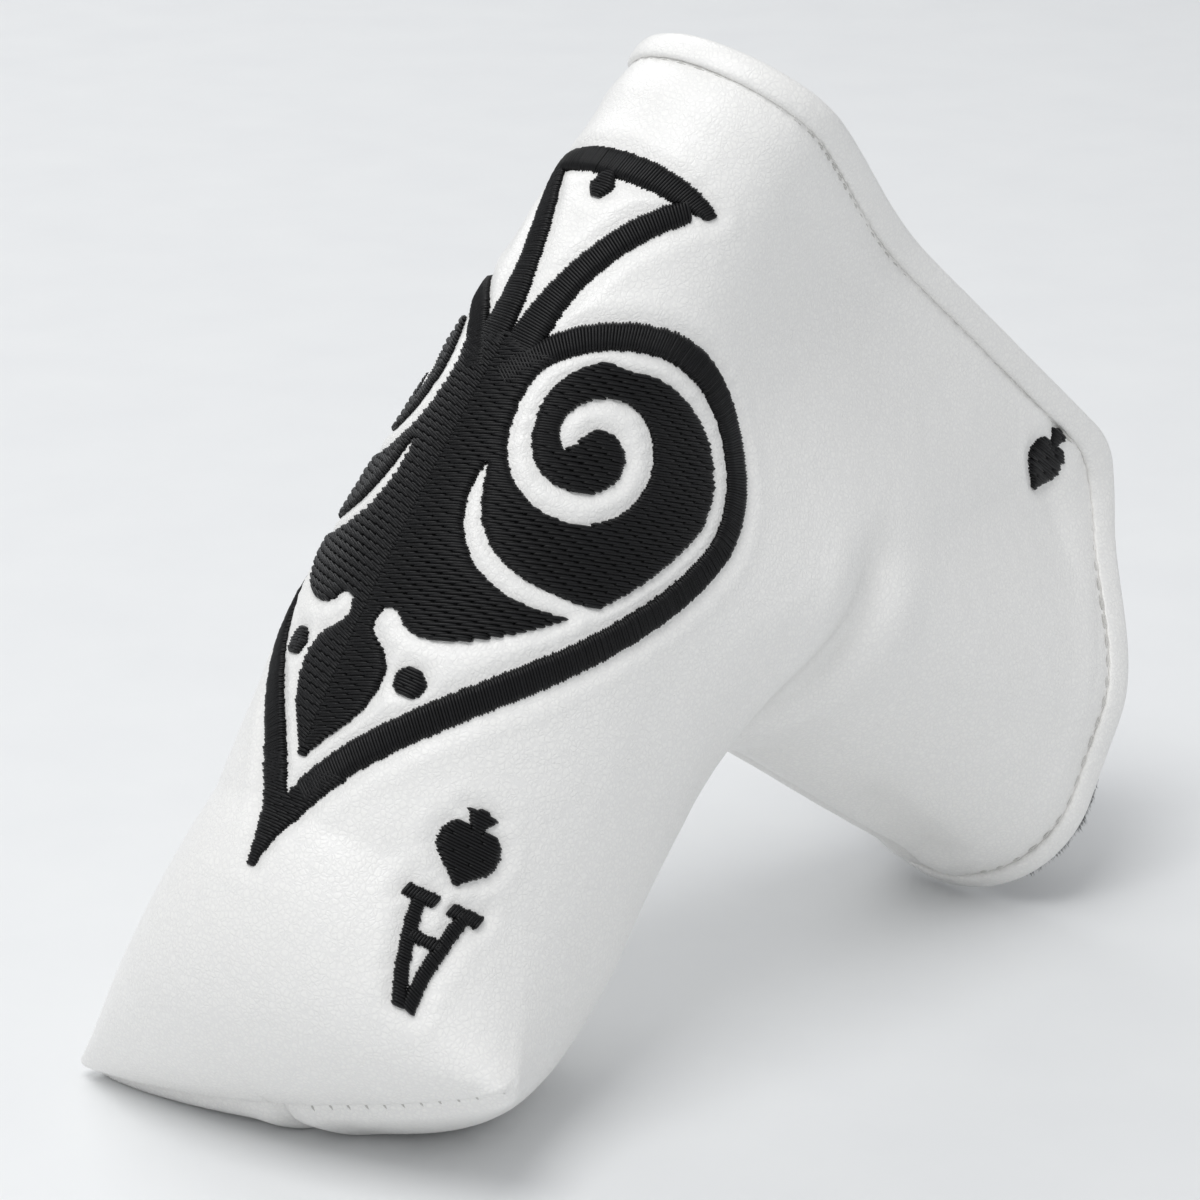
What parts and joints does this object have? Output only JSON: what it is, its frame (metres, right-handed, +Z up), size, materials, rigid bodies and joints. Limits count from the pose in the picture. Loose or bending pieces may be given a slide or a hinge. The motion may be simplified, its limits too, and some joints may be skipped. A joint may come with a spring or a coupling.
{
  "type": "blade putter head cover",
  "caption": "L-shaped padded pocket for a blade putter head, open along the heel and neck, with magnet-closed flaps and embroidered card-suit artwork.",
  "frame": {"origin": "middle of the standing cover's footprint box, on the table it stands on", "axes": "+X along the table from the toe towards the neck end, +Y across the cover to the far side, +Z up"},
  "size_m": [0.173, 0.072, 0.1367],
  "materials": {
    "panel": "white pearl polyurethane leather, pebble grain",
    "binding": "the same leather folded over the edge and stitched",
    "foam": "open-cell foam padding, out of sight",
    "lining": "black short-pile plush",
    "thread": "black satin-stitch embroidery thread",
    "magnet": "nickel-plated disc magnet, out of sight"
  },
  "bodies": {
    "pocket": {"pocket_panel_near": "panel", "pocket_panel_far": "panel", "pocket_foam_near": "foam", "pocket_foam_far": "foam", "pocket_lining_near": "lining", "pocket_lining_far": "lining", "heel_binding": "binding", "neck_binding": "binding", "spade_outline": "thread", "spade_centre": "thread", "near_index_letter": "thread", "near_index_pip": "thread", "far_index_letter": "thread", "far_index_pip": "thread"},
    "near_flap": {"near_flap_panel": "panel", "near_flap_foam": "foam", "near_flap_lining": "lining", "near_flap_binding": "binding", "near_magnet_1": "magnet", "near_magnet_2": "magnet", "neck_pip": "thread"},
    "far_flap": {"far_flap_panel": "panel", "far_flap_foam": "foam", "far_flap_lining": "lining", "far_flap_binding": "binding", "far_magnet_1": "magnet", "far_magnet_2": "magnet"}
  },
  "joints": [
    {"name": "near_flap_fold", "type": "hinge", "parent": "pocket", "child": "near_flap", "pos_m": [0.0394, -0.0217, 0.0687], "axis": [0.3993, 0, -0.9168], "range_deg": [0, 50], "stiffness_Nm_per_rad": 0.3},
    {"name": "far_flap_fold", "type": "hinge", "parent": "pocket", "child": "far_flap", "pos_m": [0.0394, 0.0217, 0.0687], "axis": [-0.3993, 0, 0.9168], "range_deg": [0, 50], "stiffness_Nm_per_rad": 0.3}
  ]
}
